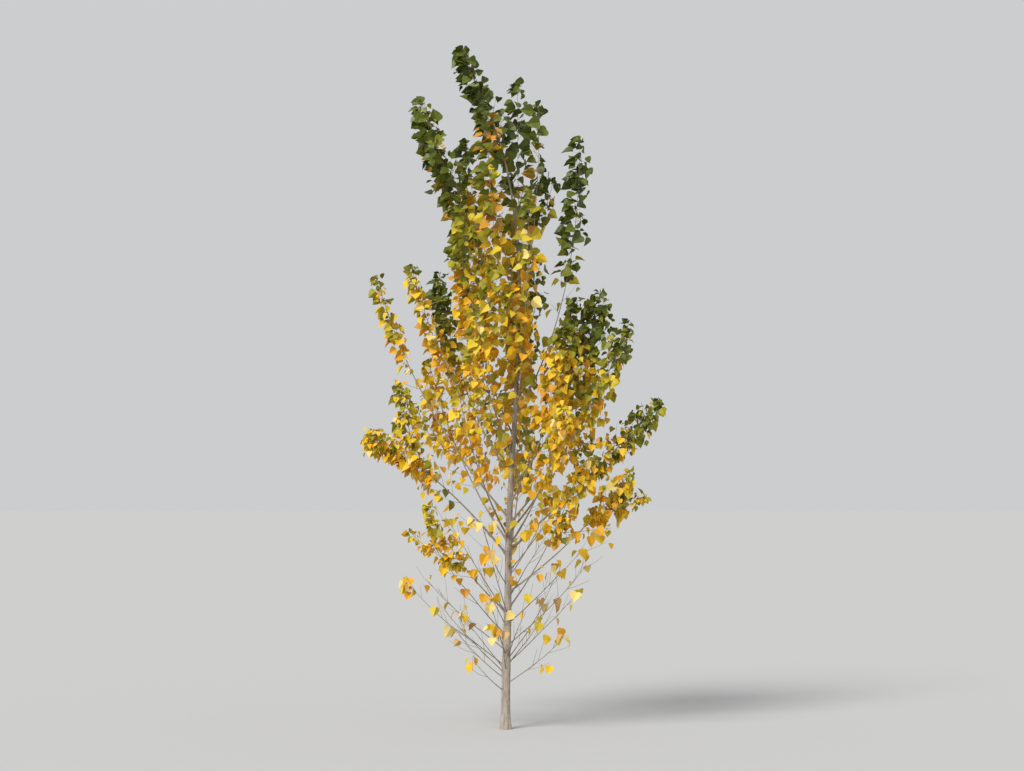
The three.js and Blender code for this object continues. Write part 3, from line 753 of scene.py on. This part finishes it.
def grow_leader():
    for name, m in LEADER_MASSES.items():
        lo, hi = m["low"] / 1000, m["high"] / 1000
        line = lambda u: trunk_at(lo + (hi - lo) * np.asarray(u))
        length = np.linalg.norm(np.diff(line(np.linspace(0, 1, 40)), axis=0), axis=1).sum()
        windy = 0.58 if name == "leader_tip" else 0.3
        grow_plume("foliage_" + name, line, length, None, m["plump"] / 1000, m["belly"], m["green"], m["lush"], m["leaf"], 0.004, windy, hi)
    # short twigs straight off the trunk, thick in the belly of the crown and thin below it
    z, phi = 0.72, 0.3
    while z < 3.6:
        z += float(np.interp(z, [0.7, 1.7, 2.4, 3.6], [0.18, 0.12, 0.05, 0.045])) * rng.uniform(0.7, 1.3)
        phi += math.radians(137.5) + rng.normal(0, 0.3)
        p = trunk_at(z)
        out = np.array([math.cos(phi), math.sin(phi), 0.0])
        lean = math.radians(rng.uniform(38, 60))
        dr = unit(UP * math.cos(lean) + out * math.sin(lean))
        start = p + out * trunk_radius(z) * 0.7
        ln = rng.uniform(0.07, 0.26)
        belly = np.interp(z, [1.2, 2.6], [0.55, 1.0])
        shoot("foliage_leader_lower", start, dr, ln, 0.0019, rng.uniform(0.035, 0.05), 0.09 * rng.uniform(0.65, 1.0) * belly,
              rng.uniform(3.4, 5.9), 0.9, 0.15, first_leaf=0.3, skip=float(np.interp(z, [1.6, 2.1, 2.5], [0.75, 0.4, 0.15])))


def grow_bare_shoots():
    """Thin shoots near the foot, nearly bare, with a few faded leaves left at their ends."""
    for k, (z, heading, length, lean, left) in enumerate(BARE_SHOOTS):
        a = math.radians(heading)
        out = np.array([math.cos(a), math.sin(a), 0.0])
        lean = math.radians(lean + rng.uniform(-2, 2))
        d = unit(UP * math.cos(lean) + out * math.sin(lean))
        steps = max(14, int(length / 0.028))
        pts = [trunk_at(z) + out * trunk_radius(z) * 0.6]
        for _ in range(steps):
            d = unit(d + UP * 0.30 / steps + rng.normal(0, 0.022, 3))
            pts.append(pts[-1] + d * length / steps)
        pts = np.array(pts)
        v, q, tr = tube(pts, np.linspace(0.0044, 0.0013, len(pts)), 6, False, True)
        twig_tubes.add(v, q, tr)
        for i in range(3, steps, 2):
            dd = unit(pts[i + 1] - pts[i - 1])
            phi = i * 2.4 + k
            us = perpendicular(dd)
            side = math.cos(phi) * us + math.sin(phi) * np.cross(dd, us)
            dr = unit(dd * 0.8 + side * 0.6 + UP * 0.15)
            x = rng.random()
            if x < 0.42:
                bud(pts[i] + side * 0.002, dr, 0.008)
            elif i > 4:
                tw = [pts[i]]
                dt, lt = dr, rng.uniform(0.06, 0.26)
                for _ in range(7):
                    dt = unit(dt + UP * 0.05 + rng.normal(0, 0.045, 3))
                    tw.append(tw[-1] + dt * lt / 7)
                v, q, tr = tube(np.array(tw), np.linspace(0.0017, 0.0009, 8), 5, False, True)
                twig_tubes.add(v, q, tr)
                if rng.random() < 0.38:
                    put_leaf("foliage_lowest_left", tw[-1], dt, rng.uniform(0, 6.28), rng.uniform(0.05, 0.085),
                             rng.choice(["cream", "russet", "lemon", "orange", "yellow"]), 1.0)
        for n in range(left):
            at = pts[-1 - min(n // 2, 4)]
            put_leaf("foliage_lowest_left", at, d, n * 2.4 + k, rng.uniform(0.06, 0.095),
                     rng.choice(["cream", "yellow", "lemon", "yellow", "gold", "russet"]), 1.0)


# ---------------------------------------------------------------------------
# Materials
# ---------------------------------------------------------------------------
def node(tree, kind, **sockets):
    n = tree.nodes.new(kind)
    for k, v in sockets.items():
        n.inputs[k.replace("_", " ")].default_value = v
    return n


def bark_material(name, pale, dark, tan, streak, dash, bump):
    """Smooth young poplar bark: long pale and darker streaks, short level dashes of cork, a mossy tinge in places."""
    mat = bpy.data.materials.new(name)
    mat.use_nodes = True
    t = mat.node_tree
    p = t.nodes["Principled BSDF"]
    co = t.nodes.new("ShaderNodeTexCoord")

    def mapped(scale):
        m = t.nodes.new("ShaderNodeMapping")
        m.inputs["Scale"].default_value = scale
        t.links.new(co.outputs["Object"], m.inputs["Vector"])
        return m.outputs["Vector"]

    def noise(scale, detail, rough=0.55, size=1.0):
        n = node(t, "ShaderNodeTexNoise", Scale=size, Detail=detail, Roughness=rough)
        t.links.new(mapped(scale), n.inputs["Vector"])
        return n.outputs["Fac"]

    def ramp(fac, stops):
        r = t.nodes.new("ShaderNodeValToRGB")
        while len(r.color_ramp.elements) < len(stops):
            r.color_ramp.elements.new(0.5)
        for e, (pos, col) in zip(r.color_ramp.elements, stops):
            e.position = pos
            e.color = (*col, 1) if len(col) == 3 else (col[0], col[0], col[0], 1)
        t.links.new(fac, r.inputs["Fac"])
        return r.outputs["Color"]

    def mix(a, b, fac, blend="MIX"):
        m = t.nodes.new("ShaderNodeMix")
        m.data_type = "RGBA"
        m.blend_type = blend
        for sock, val in (("Factor", fac), ("A", a), ("B", b)):
            s = [i for i in m.inputs if i.name == sock and (i.type == "RGBA" or sock == "Factor" and i.type == "VALUE")][0]
            if isinstance(val, (tuple, list)):
                s.default_value = (*val, 1)
            elif isinstance(val, float):
                s.default_value = val
            else:
                t.links.new(val, s)
        return [o for o in m.outputs if o.type == "RGBA"][0]

    streaks = ramp(noise((streak, streak, streak * 0.22), 4), [(0.3, dark), (0.46, tan), (0.62, pale)])
    blotch = noise((9, 9, 5), 3)
    col = mix(streaks, pale, ramp(blotch, [(0.45, (0.0,)), (0.7, (0.55,))]))
    moss = ramp(noise((3.1, 3.1, 1.7), 3), [(0.55, (0.0,)), (0.75, (0.4,))])
    col = mix(col, (dark[0] * 0.75, dark[1] * 0.95, dark[2] * 0.6), moss)
    marks = ramp(noise((dash * 0.35, dash * 0.35, dash * 2.2), 2, 0.4), [(0.64, (0.0,)), (0.68, (0.85,))])
    col = mix(col, (dark[0] * 0.62, dark[1] * 0.58, dark[2] * 0.54), marks)
    t.links.new(col, p.inputs["Base Color"])
    rough = ramp(blotch, [(0.3, (0.62,)), (0.7, (0.84,))])
    t.links.new(rough, p.inputs["Roughness"])
    grain = noise((streak * 2.2, streak * 2.2, streak * 1.1), 5, 0.6)
    height = mix(ramp(grain, [(0.2, (0.0,)), (0.8, (1.0,))]), marks, 0.5, "ADD")
    bm = node(t, "ShaderNodeBump", Strength=0.35, Distance=bump)
    t.links.new(height, bm.inputs["Height"])
    t.links.new(bm.outputs["Normal"], p.inputs["Normal"])
    return mat


def plain_material(name, color, roughness, specular=0.5, coat=0.0):
    mat = bpy.data.materials.new(name)
    mat.use_nodes = True
    p = mat.node_tree.nodes["Principled BSDF"]
    p.inputs["Base Color"].default_value = (*color, 1)
    p.inputs["Roughness"].default_value = roughness
    p.inputs["Specular IOR Level"].default_value = specular
    p.inputs["Coat Weight"].default_value = coat
    p.inputs["Coat Roughness"].default_value = 0.3
    mat.diffuse_color = (*color, 1)
    return mat


# ---------------------------------------------------------------------------
# Assembly
# ---------------------------------------------------------------------------
trunk = build_trunk()
for _name, _b in BOUGHS.items():
    grow_bough(_name, _b)
for _k, _l in enumerate(LOBES):
    grow_lobe(_k, _l)
grow_leader()
grow_bare_shoots()

bark = bark_material("poplar_bark", (0.46, 0.405, 0.34), (0.20, 0.162, 0.130), (0.345, 0.29, 0.235), 46.0, 90.0, 0.0015)
young = bark_material("poplar_young_bark", (0.37, 0.315, 0.25), (0.18, 0.14, 0.10), (0.285, 0.235, 0.175), 90.0, 190.0, 0.0007)
twig_mat = bark_material("poplar_twig_bark", (0.32, 0.255, 0.185), (0.155, 0.115, 0.08), (0.24, 0.19, 0.13), 150.0, 260.0, 0.0003)

trunk.data.materials.append(bark)
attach(trunk, "root")
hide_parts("trunk")

boughs = wood_tubes.piece("boughs_bark")
boughs.data.materials.append(young)
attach(boughs, "root")
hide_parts(*["bough_" + n for n in BOUGHS])

for pile, name, mat in ((twig_tubes, "twigs", twig_mat), (bud_pile, "buds", twig_mat)):
    o = pile.piece(name)
    o.data.materials.append(mat)
    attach(o, "root")

o = stalks.piece("leaf_stalks")
o.data.materials.append(plain_material("leaf_stalk", (0.42, 0.30, 0.06), 0.5))
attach(o, "root")

counts = {}
for tint, rows in leaves.items():
    if not rows:
        continue
    counts[tint] = len(rows)
    pile = Pile()
    for kind in range(BLADES):
        some = [r for r in rows if r[0] == kind]
        if not some:
            continue
        tv, tt = TEMPLATES[kind]
        pos = np.array([r[1] for r in some])
        basis = np.stack([[r[2], r[3], r[4]] for r in some])  # (n, 3 axes, 3)
        size = np.array([r[5] for r in some])
        v = pos[:, None] + size[:, None, None] * np.einsum("vk,nkc->nvc", tv, basis)
        f = tt[None] + (np.arange(len(some)) * len(tv))[:, None, None]
        pile.add(v.reshape(-1, 3), tris=f.reshape(-1, 3))
    o = pile.piece("leaves_" + tint)
    green = tint in ("deep_green", "green", "olive")
    o.data.materials.append(plain_material("leaf_" + tint, TINTS[tint], 0.46 if green else 0.54, 0.35 if green else 0.3))
    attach(o, "root")
    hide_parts(*sorted(m for m, tints in plume_tints.items() if tint in tints))
print("LEAVES", sum(counts.values()), counts)

# ---------------------------------------------------------------------------
# Floor, light and camera
# ---------------------------------------------------------------------------
bpy.ops.mesh.primitive_plane_add(size=600, location=(0, 0, 0))
floor = bpy.context.object
floor.name = "floor"
floor.data.materials.append(plain_material("floor", (0.50, 0.50, 0.495), 0.95, 0.0))

world = bpy.data.worlds.new("studio")
world.use_nodes = True
world.node_tree.nodes["Background"].inputs["Color"].default_value = (0.60, 0.61, 0.62, 1)
world.node_tree.nodes["Background"].inputs["Strength"].default_value = 1.0
bpy.context.scene.world = world


def soft_sun(name, towards, strength, angle, color=(1, 1, 1)):
    """A broad lamp far off, shining along towards."""
    l = bpy.data.lights.new(name, "SUN")
    l.energy = strength
    l.angle = math.radians(angle)
    l.color = color
    ob = bpy.data.objects.new(name, l)
    bpy.context.scene.collection.objects.link(ob)
    ob.rotation_euler = Vector(towards).to_track_quat("-Z", "Y").to_euler()
    return ob


soft_sun("key", (0.42, 0.66, -0.72), 3.0, 24, (1.0, 0.985, 0.96))

bpy.context.scene.view_settings.view_transform = "Standard"

cam = bpy.data.cameras.new("camera")
cam.lens = 83
cam.clip_end = 500
camera = bpy.data.objects.new("camera", cam)
bpy.context.scene.collection.objects.link(camera)
EYE = Vector((0.05, -18.5, 1.8))
AIM = Vector((0.05, 0.0, 2.68))
camera.location = EYE
camera.rotation_euler = (AIM - EYE).to_track_quat("-Z", "Y").to_euler()
bpy.context.scene.camera = camera

bpy.context.view_layer.update()
